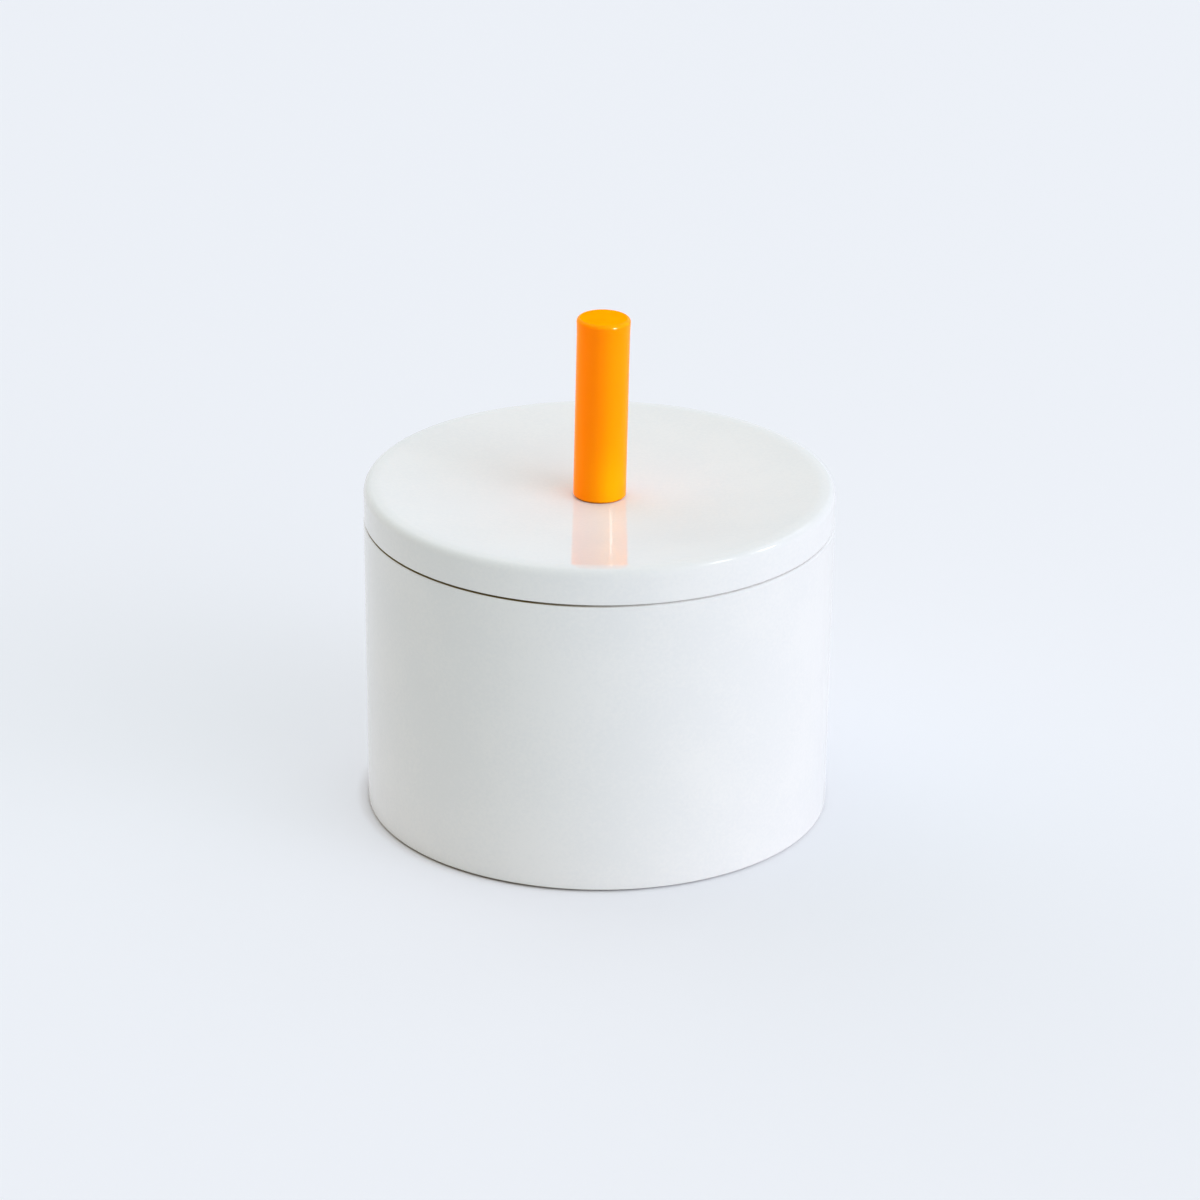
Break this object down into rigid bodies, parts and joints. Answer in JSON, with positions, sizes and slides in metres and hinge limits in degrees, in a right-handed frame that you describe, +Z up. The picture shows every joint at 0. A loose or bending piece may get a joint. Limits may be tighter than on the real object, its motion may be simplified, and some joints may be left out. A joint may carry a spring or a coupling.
{
  "type": "lidded round box",
  "caption": "Straight-walled round porcelain box with a flush drop-in lid and an upright lacquered dowel knob, screwed on from under the lid.",
  "frame": {"origin": "centre of the foot, on the surface that the box stands on", "axes": "+Z up along the box's axis, -Y towards the viewer of the picture; the knob leans a little towards +X"},
  "size_m": [0.107, 0.107, 0.1167],
  "materials": {
    "porcelain": "clear glossy glaze over white porcelain, bare on the foot, the rim and the lid's seat",
    "orange_lacquer": "dipped bright orange lacquer, glossy, on a hardwood dowel",
    "brown_fibre": "brown vulcanised fibre, matt",
    "brass": "turned",
    "zinc_steel": "zinc plated",
    "black_rubber": "matt"
  },
  "bodies": {
    "box": {"box_body": "porcelain"},
    "lid_with_knob": {"lid": "porcelain", "knob": "orange_lacquer", "seat_washer": "brown_fibre", "threaded_insert": "brass", "knob_screw": "zinc_steel", "steel_washer": "zinc_steel", "cushion_washer": "black_rubber"}
  },
  "joints": [
    {"name": "lid_lift", "type": "slide", "parent": "box", "child": "lid_with_knob", "axis": [0, 0, 1], "range_m": [0, 0.1]}
  ]
}
